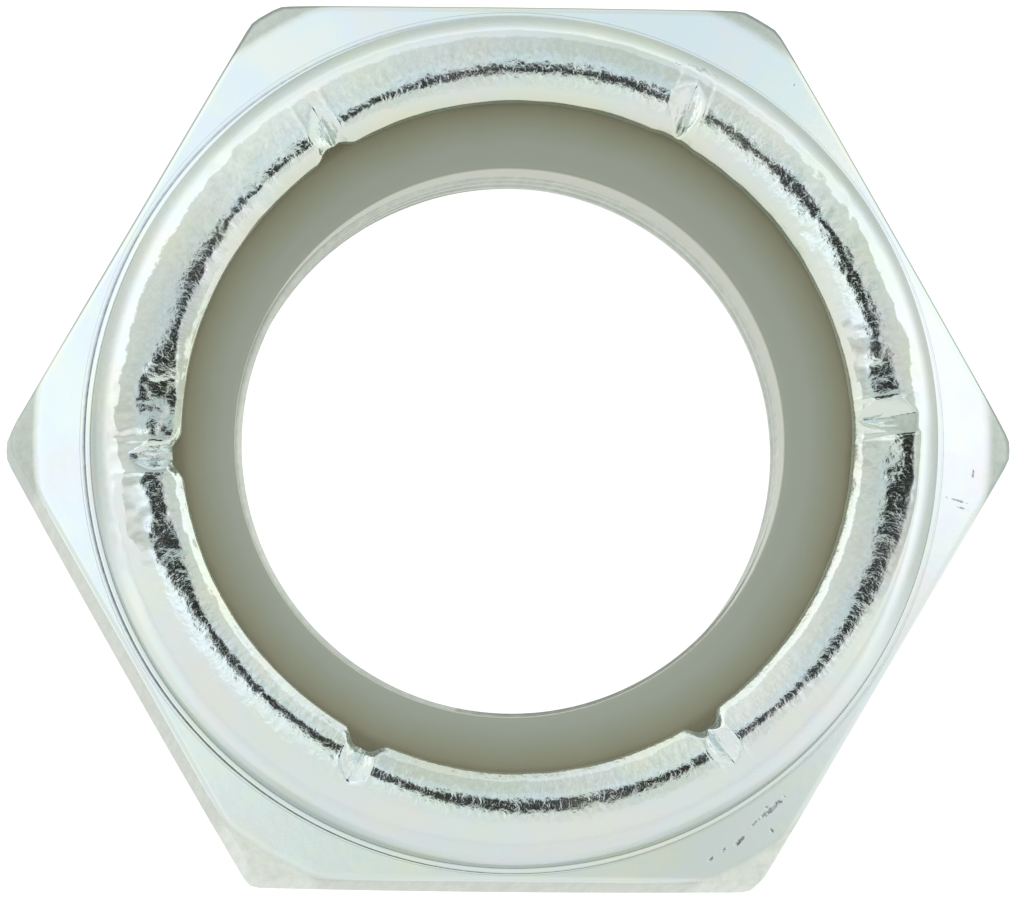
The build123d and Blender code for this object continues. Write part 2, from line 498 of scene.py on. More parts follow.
def roll_unevenly(ring):
    """Moves the crest in and out, with the same slope down to the rim, and flattens it in places."""
    points = get_points(ring)
    radius, angle = polar(points)
    skin = points[:, 2] > LIP_UNDERSIDE - 0.01
    bearings, drifts = [], []
    for stake, following, drift in zip(STAKES, STAKES[1:] + STAKES[:1], CREST_DRIFT):
        gap = (following[0] - stake[0]) % 360
        bearings += [stake[0] + 2, stake[0] + gap / 2, stake[0] + gap - 2]
        drifts += drift
    drift = np.interp(angle, bearings, drifts, period=360)
    drop = (TOP - RIM_TOP) * (1 + drift / (CREST_RADIUS - LIP_RADIUS))
    inner = skin & (radius < CREST_RADIUS)
    above = TOP - (TOP - points[:, 2]) * drop / (TOP - RIM_TOP)
    below = TOP - drop - (RIM_TOP - points[:, 2]) * (TOP - drop - LIP_UNDERSIDE) / (RIM_TOP - LIP_UNDERSIDE)
    points[:, 2] = np.where(inner, np.where(points[:, 2] > RIM_TOP, above, below), points[:, 2])
    near_crest = smooth_step(LIP_RADIUS, CREST_RADIUS, radius)
    near_crest *= 1 - smooth_step(CREST_RADIUS, CREST_RADIUS + BEND, radius)
    moved = radius + np.where(skin, drift * near_crest, 0)
    at_root = smooth_step(TOP - BEND, HEX_TOP, points[:, 2])
    at_root *= (radius > CHAMBER_RADIUS + 0.3) & (radius < LAND_RADIUS - 0.05)
    moved += at_root * np.minimum(points[:, :2] @ ROOT_SHIFT / radius, ROOT_ROOM)
    ridge = sum(np.exp(-((turned(angle, centre) / spread) ** 2)) for centre, spread in SHARPENED)
    ridge *= RIDGE_HEIGHT * np.exp(-(((radius - CREST_RADIUS) / RIDGE_WIDTH) ** 2))
    points[:, 2] += np.where(skin, ridge, 0)
    sink = np.full(len(points), CREST_SINK)
    for centre, spread, depth in FLATTENED:
        sink += depth * np.exp(-((turned(angle, centre) / spread) ** 2))
    points[:, 2] = np.where(skin, soft_min(points[:, 2], TOP - sink, CREST_BLEND), points[:, 2])
    points[:, :2] *= (moved / radius)[:, None]
    near_rim = skin * smooth_step(CREST_RADIUS, LIP_RADIUS, radius)
    points[:, :2] += near_rim[:, None] * RIM_SHIFT
    set_points(ring, points)


def strike(ring, rim_bearing, end_bearing, reach, end_depth, rim_depth, root, left_run, right_run, setback):
    """Strikes one stake into the lip: a groove with two walls, over a tab pushed down into the nylon."""
    points = get_points(ring)
    radius, angle = polar(points)
    share = np.clip((reach - radius) / (reach - LIP_RADIUS), 0, 1)
    off = turned(angle, end_bearing + share * (rim_bearing - end_bearing))
    here = np.abs(off) < FINE_ARC
    side = radius * np.sin(np.radians(off))
    height = points[:, 2].copy()
    skin = here & (height > LIP_UNDERSIDE + LIP_EDGE + 0.01)
    depth = end_depth + share * (rim_depth - end_depth)
    run = np.where(side > 0, left_run, right_run)
    wall = np.maximum(np.abs(side) - root / 2, 0) / run * depth
    scores = [noise.noise(Vector((s / SCORE_WIDTH, r / SCORE_LENGTH, reach))) for s, r in zip(side, radius)]
    cut = TOP - depth + wall + np.maximum(radius - reach, 0) * WALL_RISE + SCORE_HEIGHT * np.array(scores)
    past_edge = np.abs(side) - root / 2 - run
    burr = (
        BURR_HEIGHT
        * np.exp(-(((past_edge - BURR_OUT) / BURR_WIDTH) ** 2))
        * smooth_step(reach + 0.1, reach - 0.2, radius)
    )
    points[:, 2] = np.where(skin, soft_min(height + burr, cut, LIP_BLEND), height)
    under = here & ~skin & (radius < CHAMBER_RADIUS) & (height > LIP_UNDERSIDE - 0.05)
    tab = smooth_step(TAB_WIDTH / 2 + 0.12, TAB_WIDTH / 2 - 0.08, np.abs(side))
    tab *= smooth_step(CHAMBER_RADIUS, CHAMBER_RADIUS - 0.5, radius)
    points[:, 2] -= np.where(under, TAB_DEPTH * tab, 0)
    opening = smooth_step(0.25, -0.25, past_edge) * smooth_step(LIP_RADIUS + 0.7, LIP_RADIUS, radius)
    moved = radius + np.where(here & (height > LIP_UNDERSIDE - 0.05), setback * opening, 0)
    points[:, :2] *= (moved / radius)[:, None]
    set_points(ring, points)


def ripple(ring):
    """Roughens the rolled lip as the forming die leaves it, most in the rough stretches and at the rim."""
    points = get_points(ring)
    radius, angle = polar(points)
    skin = (points[:, 2] > LIP_UNDERSIDE + LIP_EDGE) & (radius < COLLAR_RADIUS - 0.12)
    rough = np.full(len(points), 0.35)
    for centre, spread in ROUGH_STRETCHES:
        rough += np.exp(-((turned(angle, centre) / spread) ** 2))
    for at in np.flatnonzero(skin):
        place = Vector(points[at])
        coarse = noise.noise(place / COARSE_RIPPLE)
        fine = noise.noise(place / FINE_RIPPLE + Vector((9, 0, 0)))
        points[at, 2] += RIPPLE * rough[at] * (coarse + 0.5 * fine)
        if radius[at] < LIP_RADIUS + 0.25:
            points[at, :2] *= 1 + RIM_RIPPLE * (noise.noise(place / RIM_WAVE) + 0.5 * coarse) / radius[at]
    set_points(ring, points)


def steel_body():
    """The hexagon and the collar as one piece of steel."""
    body = hexagon()
    combine(body, collar(), "UNION")
    body.name = body.data.name = "steel_body"
    return body


# ---------------------------------------------------------------- nylon ring
def nylon_ring():
    """Ring squeezed under the lip: dished towards its bore, off centre, dented by the tabs."""
    inner_top = LIP_UNDERSIDE - RING_DISH
    points = (
        (RING_BORE, CHAMBER_FLOOR),
        (CHAMBER_RADIUS, CHAMBER_FLOOR),
        (CHAMBER_RADIUS, LIP_UNDERSIDE),
        (LIP_RADIUS, LIP_UNDERSIDE + 0.01),
        (RING_BORE, inner_top),
    )
    rounds = [(points[0], 0.2, 2), (points[2], UNDER_BEND, 3), (points[4], 0.12, 4)]
    cuts = [(points[3], points[4], 11), (points[4], points[0], 9), (points[2], points[3], 7)]
    ring = spin_round(draw_section("nylon_ring", points, rounds, cuts), [(0, [(360, 360)])])
    placed = get_points(ring)
    radius, angle = polar(placed)
    loose = 1 - smooth_step(RING_BORE, LIP_RADIUS, radius)
    for axis in (0, 1):
        placed[:, axis] += loose * RING_SHIFT[axis]
    for stake in STAKES:
        side = radius * np.sin(np.radians(turned(angle, stake[0])))
        near_tab = smooth_step(TAB_WIDTH / 2 + 0.15, TAB_WIDTH / 2 + 0.05, np.abs(side))
        near_tab *= np.cos(np.radians(turned(angle, stake[0]))) > 0
        covered = LIP_RADIUS + stake[-1] + 0.1
        dent = near_tab * smooth_step(covered, covered + 0.1, radius)
        on_top = placed[:, 2] > inner_top - 0.05
        placed[:, 2] -= np.where(on_top, dent * TAB_DEPTH, 0)
    set_points(ring, placed)
    ring.name = ring.data.name = "nylon_ring"
    return ring


# ---------------------------------------------------------------- finishes
CAST_PATCH = 3.2
CAST_COLOURS = ((0.35, "#e4e9e0"), (0.45, "#dfe9e4"), (0.52, "#dee8ea"), (0.6, "#e3e7e6"), (0.68, "#e2eae1"))
CREST_LINE = 9.9
FEATHER_WIDTH = 0.19
FEATHER_LENGTH = 0.25
FEATHER_HEIGHT = 0.027
DRAWN_WIDTH = 0.22
DRAWN_LENGTH = 4.0
DRAWN_HEIGHT = 0.006
SKIN_GRAIN = 0.3
SKIN_HEIGHT = 0.0012
SPECKLE = 0.15
# The bearing that the painted reflection and painted shade are laid out from: the band's painted reflection,
# painted shade on the far side's root and edges, and painted shade on the near side's corners.
SHADE_BEARING = 85
# How far the wall shares the band's painted reflection and how ragged the band is, and what the sides, the
# roll and the rim add to the roughness.
WALL_REFLECTION_SHARE = 2.6
REFLECTION_RAGGED = 0.08
SIDE_ROUGHER = 0.2
ROLL_SMOOTHER = -0.05
RIM_ROUGHER = 0.4
# Outside the first radius lie the hexagon's edges, and inside the second the thread.
EDGE_RADIUS = 11.77
BORE_REACH = 8.6
SCAR_GRAIN = 0.16
SCAR_RAGGED = 3.0
SCAR_DEPTH = 0.03
NYLON_FLOW = 1.6
NYLON_BLUR = 0.35
NYLON_GRAIN = 0.12
NYLON_GRAIN_HEIGHT = 0.004
SMOOTH_ANGLE = 30

# Scars in the plating: the middle of each, its length and width, and the bearing it lies along.
SCARS = (
    (7.61, 9.87, 0.16, 0.12, 70),
    (12.55, -0.70, 0.30, 0.09, 85),
    (12.15, -1.42, 0.55, 0.08, -14),
    (12.25, -1.62, 0.30, 0.07, -14),
    (7.04, -9.91, 1.04, 0.20, 41),
    (6.28, -10.72, 0.55, 0.14, 45),
    (5.85, -10.98, 0.26, 0.12, 50),
    (5.51, -11.21, 0.20, 0.12, 50),
    (7.12, -10.40, 0.35, 0.12, -60),
    (4.95, 9.93, 1.00, 0.20, -26.5),
    (4.27, 10.07, 0.42, 0.20, -40),
)


def linear(colour):
    """Linear RGBA of an sRGB hex colour such as "#8090a0"."""
    parts = [int(colour[at:at + 2], 16) / 255 for at in (1, 3, 5)]
    return [part / 12.92 if part <= 0.04045 else ((part + 0.055) / 1.055) ** 2.4 for part in parts] + [1.0]


def node(tree, kind, inputs=None, stops=None, **settings):
    """Adds a node with its settings, its ramp's stops, and its inputs: values, or sockets to link."""
    made = tree.nodes.new(kind)
    for name, value in settings.items():
        setattr(made, name, value)
    if stops:
        while len(made.color_ramp.elements) < len(stops):
            made.color_ramp.elements.new(0.5)
        for element, (place, colour) in zip(made.color_ramp.elements, stops):
            element.position, element.color = place, colour
    for name, value in (inputs or {}).items():
        if isinstance(value, bpy.types.NodeSocket):
            tree.links.new(value, made.inputs[name])
        else:
            made.inputs[name].default_value = value
    return made


def new_material(name):
    """An empty material, and the node tree to fill."""
    material = bpy.data.materials.new(name)
    material.use_nodes = True
    tree = material.node_tree
    tree.nodes.clear()
    return material, tree


def bright_zinc_plated_steel():
    """Cold formed steel, bright zinc plated and clear passivated.

    The eye gets a bright mirror with a faint straw, green and blue cast that drifts across it, an orange peel
    where the lip was rolled, and a darker, mottled band on and outside its crest and down the collar's wall,
    a painted reflection of the dark overhead. The sides are duller and show fine drawn lines, and their base
    colour is darker, partly a duller finish and partly painted shade, with painted shade on the corners of
    the near side. Painted shade darkens the thread's grooves and, on the far side, the hexagon's edges and
    the collar's root. Scars from handling lie on the top.
    """
    material, tree = new_material("bright_zinc_plated_steel")
    coordinates = node(tree, "ShaderNodeTexCoord")
    place = coordinates.outputs["Object"]
    split = node(tree, "ShaderNodeSeparateXYZ", {"Vector": place})
    flat = node(tree, "ShaderNodeCombineXYZ", {"X": split.outputs["X"], "Y": split.outputs["Y"]})
    reach = node(
        tree, "ShaderNodeVectorMath", {"Vector": flat.outputs[0]}, operation="LENGTH"
    ).outputs["Value"]
    lean = node(tree, "ShaderNodeSeparateXYZ", {"Vector": coordinates.outputs["Normal"]})
    off_crest = node(tree, "ShaderNodeMath", {0: reach, 1: CREST_LINE * MM}, operation="SUBTRACT")
    off_crest = node(tree, "ShaderNodeMath", {0: off_crest.outputs[0]}, operation="ABSOLUTE")
    rolled = node(
        tree,
        "ShaderNodeMapRange",
        {"Value": off_crest.outputs[0], "From Min": 1.0 * MM, "From Max": 0.5 * MM, "To Min": 0.12},
        interpolation_type="SMOOTHSTEP",
    )
    on_side = node(
        tree,
        "ShaderNodeMapRange",
        {"Value": split.outputs["Z"], "From Min": 6.12 * MM, "From Max": 6.02 * MM},
        interpolation_type="SMOOTHSTEP",
    )

    above_land = node(
        tree,
        "ShaderNodeMapRange",
        {"Value": split.outputs["Z"], "From Min": 7.0 * MM, "From Max": 8.0 * MM},
        interpolation_type="SMOOTHSTEP",
    )
    outside_bend = node(
        tree,
        "ShaderNodeMapRange",
        {"Value": reach, "From Min": 11.0 * MM, "From Max": 11.3 * MM, "To Max": 0.28},
        interpolation_type="SMOOTHSTEP",
    )
    on_wall = node(
        tree, "ShaderNodeMath", {0: above_land.outputs[0], 1: outside_bend.outputs[0]}, operation="MULTIPLY"
    )
    on_roll = node(
        tree,
        "ShaderNodeMapRange",
        {"Value": split.outputs["Z"], "From Min": 8.6 * MM, "From Max": 9.4 * MM},
        interpolation_type="SMOOTHSTEP",
    )

    drift = node(
        tree,
        "ShaderNodeTexNoise",
        {"Vector": place, "Scale": 1 / (CAST_PATCH * MM), "Detail": 6.0, "Roughness": 0.6},
    )
    cast = node(
        tree,
        "ShaderNodeValToRGB",
        {"Fac": drift.outputs["Fac"]},
        stops=[(at, linear(colour)) for at, colour in CAST_COLOURS],
    )
    speckle = node(tree, "ShaderNodeTexNoise", {"Vector": place, "Scale": 1 / (SPECKLE * MM), "Detail": 3.0})
    lean_flat = node(tree, "ShaderNodeCombineXYZ", {"X": lean.outputs["X"], "Y": lean.outputs["Y"]})
    leans_to = node(tree, "ShaderNodeVectorMath", {"Vector": lean_flat.outputs[0]}, operation="NORMALIZE")
    towards = node(
        tree,
        "ShaderNodeVectorMath",
        {0: leans_to.outputs[0], 1: (cos(radians(SHADE_BEARING)), sin(radians(SHADE_BEARING)), 0)},
        operation="DOT_PRODUCT",
    ).outputs["Value"]
    # Painted reflection of the dark overhead: a darker band on and just outside the crest and down the
    # collar's wall, except where the surface leans towards the near side.
    dark_reflection_lean = node(
        tree,
        "ShaderNodeMapRange",
        {"Value": towards, "From Min": -0.5, "From Max": -0.15},
        interpolation_type="SMOOTHSTEP",
    )
    on_crest = node(
        tree,
        "ShaderNodeMapRange",
        {"Value": lean.outputs["Z"], "From Min": 0.985, "From Max": 0.995},
        interpolation_type="SMOOTHSTEP",
    )
    dark_reflection_lean = node(
        tree, "ShaderNodeMath", {0: dark_reflection_lean.outputs[0], 1: on_crest.outputs[0]}, operation="MAXIMUM"
    )
    ragged_lean = node(
        tree,
        "ShaderNodeMath",
        {0: speckle.outputs["Fac"], 1: REFLECTION_RAGGED, 2: lean.outputs["Z"]},
        operation="MULTIPLY_ADD",
    )
    reflection_band = node(
        tree,
        "ShaderNodeMapRange",
        {"Value": ragged_lean.outputs[0], "From Min": 0.855, "From Max": 0.885},
        interpolation_type="SMOOTHSTEP",
    )
    reflection_band = node(tree, "ShaderNodeMath", {0: reflection_band.outputs[0], 1: on_roll.outputs[0]}, operation="MULTIPLY")
    wall_reflection = node(tree, "ShaderNodeMath", {0: on_wall.outputs[0], 1: WALL_REFLECTION_SHARE}, operation="MULTIPLY")
    reflection_band = node(tree, "ShaderNodeMath", {0: reflection_band.outputs[0], 1: wall_reflection.outputs[0]}, operation="MAXIMUM")
    reflection_band = node(tree, "ShaderNodeMath", {0: reflection_band.outputs[0], 1: dark_reflection_lean.outputs[0]}, operation="MULTIPLY")
    reflection_tone = node(
        tree,
        "ShaderNodeMix",
        {"Factor": reflection_band.outputs[0], "A": cast.outputs["Color"], "B": linear("#edeeea")},
        data_type="RGBA",
        blend_type="MULTIPLY",
    )
    # The painted reflection mottled with darker flecks.
    mottle_share = node(
        tree,
        "ShaderNodeMapRange",
        {"Value": speckle.outputs["Fac"], "From Min": 0.60, "From Max": 0.42, "To Max": 0.5},
    )
    reflection_mottle = node(tree, "ShaderNodeMath", {0: mottle_share.outputs[0], 1: reflection_band.outputs[0]}, operation="MULTIPLY")
    mottled_tone = node(
        tree,
        "ShaderNodeMix",
        {"Factor": reflection_mottle.outputs[0], "A": reflection_tone.outputs["Result"], "B": linear("#f2f3ef")},
        data_type="RGBA",
        blend_type="MULTIPLY",
    )
    facing = node(tree, "ShaderNodeVectorMath", {"Vector": flat.outputs[0]}, operation="NORMALIZE")
    facing_parts = node(tree, "ShaderNodeSeparateXYZ", {0: facing.outputs[0]})
    off_middle = node(tree, "ShaderNodeMath", {0: facing_parts.outputs["X"]}, operation="ABSOLUTE")
    # The painted reflection darker still at its ends, towards the left and right.
    at_ends = node(
        tree,
        "ShaderNodeMapRange",
        {"Value": off_middle.outputs[0], "From Min": 0.6, "From Max": 1.0},
        interpolation_type="SMOOTHSTEP",
    )
    reflection_ends = node(
        tree, "ShaderNodeMath", {0: reflection_band.outputs[0], 1: at_ends.outputs[0]}, operation="MULTIPLY"
    )
    reflection_ends_tone = node(
        tree,
        "ShaderNodeMix",
        {"Factor": reflection_ends.outputs[0], "A": mottled_tone.outputs["Result"], "B": linear("#e1e2df")},
        data_type="RGBA",
        blend_type="MULTIPLY",
    )
    facing_side = node(
        tree,
        "ShaderNodeVectorMath",
        {0: facing.outputs[0], 1: (cos(radians(SHADE_BEARING)), sin(radians(SHADE_BEARING)), 0)},
        operation="DOT_PRODUCT",
    ).outputs["Value"]
    far_side = node(
        tree,
        "ShaderNodeMapRange",
        {"Value": facing_side, "From Min": 0.42, "From Max": 0.75},
        interpolation_type="SMOOTHSTEP",
    )
    steep = node(
        tree,
        "ShaderNodeMapRange",
        {"Value": lean.outputs["Z"], "From Min": 0.8, "From Max": 0.62},
        interpolation_type="SMOOTHSTEP",
    )
    # Painted shade: a darker line where the collar's steep root meets the land, on the far side.
    root_shade = node(
        tree,
        "ShaderNodeMapRange",
        {"Value": reach, "From Min": 11.73 * MM, "From Max": 11.69 * MM},
        interpolation_type="SMOOTHSTEP",
    )
    on_land = node(
        tree,
        "ShaderNodeMapRange",
        {"Value": split.outputs["Z"], "From Min": 6.37 * MM, "From Max": 6.39 * MM},
    )
    for share in (on_land, steep, far_side):
        root_shade = node(
            tree, "ShaderNodeMath", {0: root_shade.outputs[0], 1: share.outputs[0]}, operation="MULTIPLY"
        )
    root_shade_tone = node(
        tree,
        "ShaderNodeMix",
        {"Factor": root_shade.outputs[0], "A": reflection_ends_tone.outputs["Result"], "B": linear("#dfe2df")},
        data_type="RGBA",
        blend_type="MULTIPLY",
    )
    # The sides' base colour, darker on the flats than on the rounded corners: partly a duller finish, partly
    # painted shade. The corners towards the near side are darker still: painted shade.
    on_corner = node(
        tree,
        "ShaderNodeMapRange",
        {"Value": reach, "From Min": 12.9 * MM, "From Max": 13.05 * MM},
        interpolation_type="SMOOTHSTEP",
    )
    shaded_corner = node(
        tree,
        "ShaderNodeMapRange",
        {"Value": facing_side, "From Min": -0.75, "From Max": -0.35},
        interpolation_type="SMOOTHSTEP",
    )
    shaded_corner = node(
        tree, "ShaderNodeMath", {0: on_corner.outputs[0], 1: shaded_corner.outputs[0]}, operation="MULTIPLY"
    )
    near_tone = node(
        tree,
        "ShaderNodeMix",
        {"Factor": on_corner.outputs[0], "A": linear("#d6dad3"), "B": linear("#e6eae4")},
        data_type="RGBA",
    )
    side_shade_tone = node(
        tree,
        "ShaderNodeMix",
        {"Factor": shaded_corner.outputs[0], "A": near_tone.outputs["Result"], "B": linear("#bec6c0")},
        data_type="RGBA",
    )
    drawn = node(
        tree, "ShaderNodeVectorMath", {0: place, 1: (1, 1, DRAWN_WIDTH / DRAWN_LENGTH)}, operation="MULTIPLY"
    )
    drawn = node(
        tree,
        "ShaderNodeTexNoise",
        {"Vector": drawn.outputs[0], "Scale": 1 / (DRAWN_WIDTH * MM), "Detail": 4.0, "Roughness": 0.65},
    )
    drawn_share = node(
        tree,
        "ShaderNodeMapRange",
        {"Value": drawn.outputs["Fac"], "From Min": 0.35, "From Max": 0.65, "To Max": 0.8},
    )
    drawn_side = node(
        tree,
        "ShaderNodeMix",
        {"Factor": drawn_share.outputs["Result"], "A": side_shade_tone.outputs["Result"], "B": linear("#e9eeeb")},
        data_type="RGBA",
        blend_type="MULTIPLY",
    )
    side_tone = node(
        tree,
        "ShaderNodeMix",
        {
            "Factor": on_side.outputs["Result"],
            "A": root_shade_tone.outputs["Result"],
            "B": drawn_side.outputs["Result"],
        },
        data_type="RGBA",
    )
    # Painted shade: the hexagon's steep edges, outside the collar, darker on the far side.
    edge = node(
        tree,
        "ShaderNodeMapRange",
        {"Value": lean.outputs["Z"], "From Min": 0.8, "From Max": 0.6},
        interpolation_type="SMOOTHSTEP",
    )
    outermost = node(tree, "ShaderNodeMath", {0: reach, 1: EDGE_RADIUS * MM}, operation="GREATER_THAN")
    off_near = node(
        tree,
        "ShaderNodeMapRange",
        {"Value": facing_side, "From Min": -0.1, "From Max": 0.25},
        interpolation_type="SMOOTHSTEP",
    )
    for share in (outermost, off_near):
        edge = node(
            tree, "ShaderNodeMath", {0: edge.outputs[0], 1: share.outputs[0]}, operation="MULTIPLY"
        )
    edge_shade_tone = node(
        tree,
        "ShaderNodeMix",
        {"Factor": edge.outputs[0], "A": side_tone.outputs["Result"], "B": linear("#bbc0bd")},
        data_type="RGBA",
        blend_type="MULTIPLY",
    )
    at_rim = node(
        tree,
        "ShaderNodeMapRange",
        {"Value": reach, "From Min": 9.45 * MM, "From Max": 9.1 * MM},
        interpolation_type="SMOOTHSTEP",
    )
    at_rim = node(tree, "ShaderNodeMath", {0: at_rim.outputs[0], 1: on_roll.outputs[0]}, operation="MULTIPLY")
    rim_tone = node(
        tree,
        "ShaderNodeMix",
        {"Factor": at_rim.outputs[0], "A": edge_shade_tone.outputs["Result"], "B": linear("#fdfbf0")},
        data_type="RGBA",
        blend_type="MULTIPLY",
    )
    # Painted shade: the thread's grooves darker.
    groove_shade = node(
        tree,
        "ShaderNodeMapRange",
        {"Value": reach, "From Min": 7.38 * MM, "From Max": 7.6 * MM},
        interpolation_type="SMOOTHSTEP",
    )
    in_bore = node(tree, "ShaderNodeMath", {0: reach, 1: BORE_REACH * MM}, operation="LESS_THAN")
    groove_shade = node(
        tree, "ShaderNodeMath", {0: groove_shade.outputs[0], 1: in_bore.outputs[0]}, operation="MULTIPLY"
    )
    thread_shade_tone = node(
        tree,
        "ShaderNodeMix",
        {"Factor": groove_shade.outputs[0], "A": rim_tone.outputs["Result"], "B": linear("#96959a")},
        data_type="RGBA",
        blend_type="MULTIPLY",
    )

    grain = node(tree, "ShaderNodeTexNoise", {"Vector": place, "Scale": 1 / (SCAR_GRAIN * MM), "Detail": 2.0})
    away = None
    for x, y, length, width, bearing in SCARS:
        own = node(
            tree,
            "ShaderNodeMapping",
            {
                "Vector": place,
                "Location": (x * MM, y * MM, 7 * MM),
                "Rotation": (0, 0, radians(bearing)),
                "Scale": (length / 2 * MM, width / 2 * MM, 5 * MM),
            },
            vector_type="TEXTURE",
        )
        size = node(
            tree, "ShaderNodeVectorMath", {"Vector": own.outputs[0]}, operation="LENGTH"
        ).outputs["Value"]
        away = node(
            tree, "ShaderNodeMath", {0: size, 1: away}, operation="MINIMUM"
        ).outputs[0] if away else size
    ragged = node(
        tree, "ShaderNodeMath", {0: grain.outputs["Fac"], 1: SCAR_RAGGED, 2: away}, operation="MULTIPLY_ADD"
    )
    scars = node(
        tree,
        "ShaderNodeMapRange",
        {"Value": ragged.outputs[0], "From Min": 2.3, "From Max": 1.6, "To Max": 0.7},
    )
    tone = node(
        tree,
        "ShaderNodeMix",
        {"Factor": scars.outputs["Result"], "A": thread_shade_tone.outputs["Result"], "B": linear("#767975")},
        data_type="RGBA",
    )

    rough = node(
        tree,
        "ShaderNodeMapRange",
        {"Value": drift.outputs["Fac"], "From Min": 0.3, "From Max": 0.7, "To Min": 0.15, "To Max": 0.24},
    )
    duller = node(
        tree,
        "ShaderNodeMath",
        {0: on_side.outputs["Result"], 1: SIDE_ROUGHER, 2: rough.outputs["Result"]},
        operation="MULTIPLY_ADD",
    )
    duller = node(tree, "ShaderNodeMath", {0: duller.outputs[0], 1: on_wall.outputs[0]}, operation="ADD")
    duller = node(
        tree,
        "ShaderNodeMath",
        {0: on_roll.outputs[0], 1: ROLL_SMOOTHER, 2: duller.outputs[0]},
        operation="MULTIPLY_ADD",
    )
    upright = node(tree, "ShaderNodeMapRange", {"Value": lean.outputs["Z"], "From Min": 0.5, "From Max": 0.2})
    rim_edge = node(
        tree, "ShaderNodeMath", {0: at_rim.outputs[0], 1: upright.outputs[0]}, operation="MULTIPLY"
    )
    duller = node(
        tree,
        "ShaderNodeMath",
        {0: rim_edge.outputs[0], 1: RIM_ROUGHER, 2: duller.outputs[0]},
        operation="MULTIPLY_ADD",
    )
    around = node(
        tree,
        "ShaderNodeVectorMath",
        {"Vector": facing.outputs[0], "Scale": CREST_LINE / FEATHER_WIDTH},
        operation="SCALE",
    )
    across = node(tree, "ShaderNodeMath", {0: reach, 1: FEATHER_LENGTH * MM}, operation="DIVIDE")
    lift = node(tree, "ShaderNodeCombineXYZ", {"Z": across.outputs[0]})
    feathers = node(tree, "ShaderNodeVectorMath", {0: around.outputs[0], 1: lift.outputs[0]}, operation="ADD")
    feather = node(tree, "ShaderNodeTexNoise", {"Vector": feathers.outputs[0], "Scale": 1.0, "Detail": 3.0})
    lip_bump = node(
        tree,
        "ShaderNodeBump",
        {
            "Height": feather.outputs["Fac"],
            "Strength": rolled.outputs["Result"],
            "Distance": FEATHER_HEIGHT * MM,
        },
    )
    side_bump = node(
        tree,
        "ShaderNodeBump",
        {
            "Height": drawn.outputs["Fac"],
            "Strength": on_side.outputs["Result"],
            "Distance": DRAWN_HEIGHT * MM,
            "Normal": lip_bump.outputs["Normal"],
        },
    )
    skin = node(tree, "ShaderNodeTexNoise", {"Vector": place, "Scale": 1 / (SKIN_GRAIN * MM), "Detail": 3.0})
    skin_bump = node(
        tree,
        "ShaderNodeBump",
        {
            "Height": skin.outputs["Fac"],
            "Strength": 1.0,
            "Distance": SKIN_HEIGHT * MM,
            "Normal": side_bump.outputs["Normal"],
        },
    )
    mark_bump = node(
        tree,
        "ShaderNodeBump",
        {
            "Height": scars.outputs["Result"],
            "Strength": 0.6,
            "Distance": SCAR_DEPTH * MM,
            "Normal": skin_bump.outputs["Normal"],
        },
        invert=True,
    )
    shader = node(
        tree,
        "ShaderNodeBsdfPrincipled",
        {
            "Base Color": tone.outputs["Result"],
            "Metallic": 1.0,
            "Roughness": duller.outputs[0],
            "Specular Tint": linear("#dadcda"),
            "Normal": mark_bump.outputs["Normal"],
        },
    )
    node(tree, "ShaderNodeOutputMaterial", {"Surface": shader.outputs[0]})
    return material


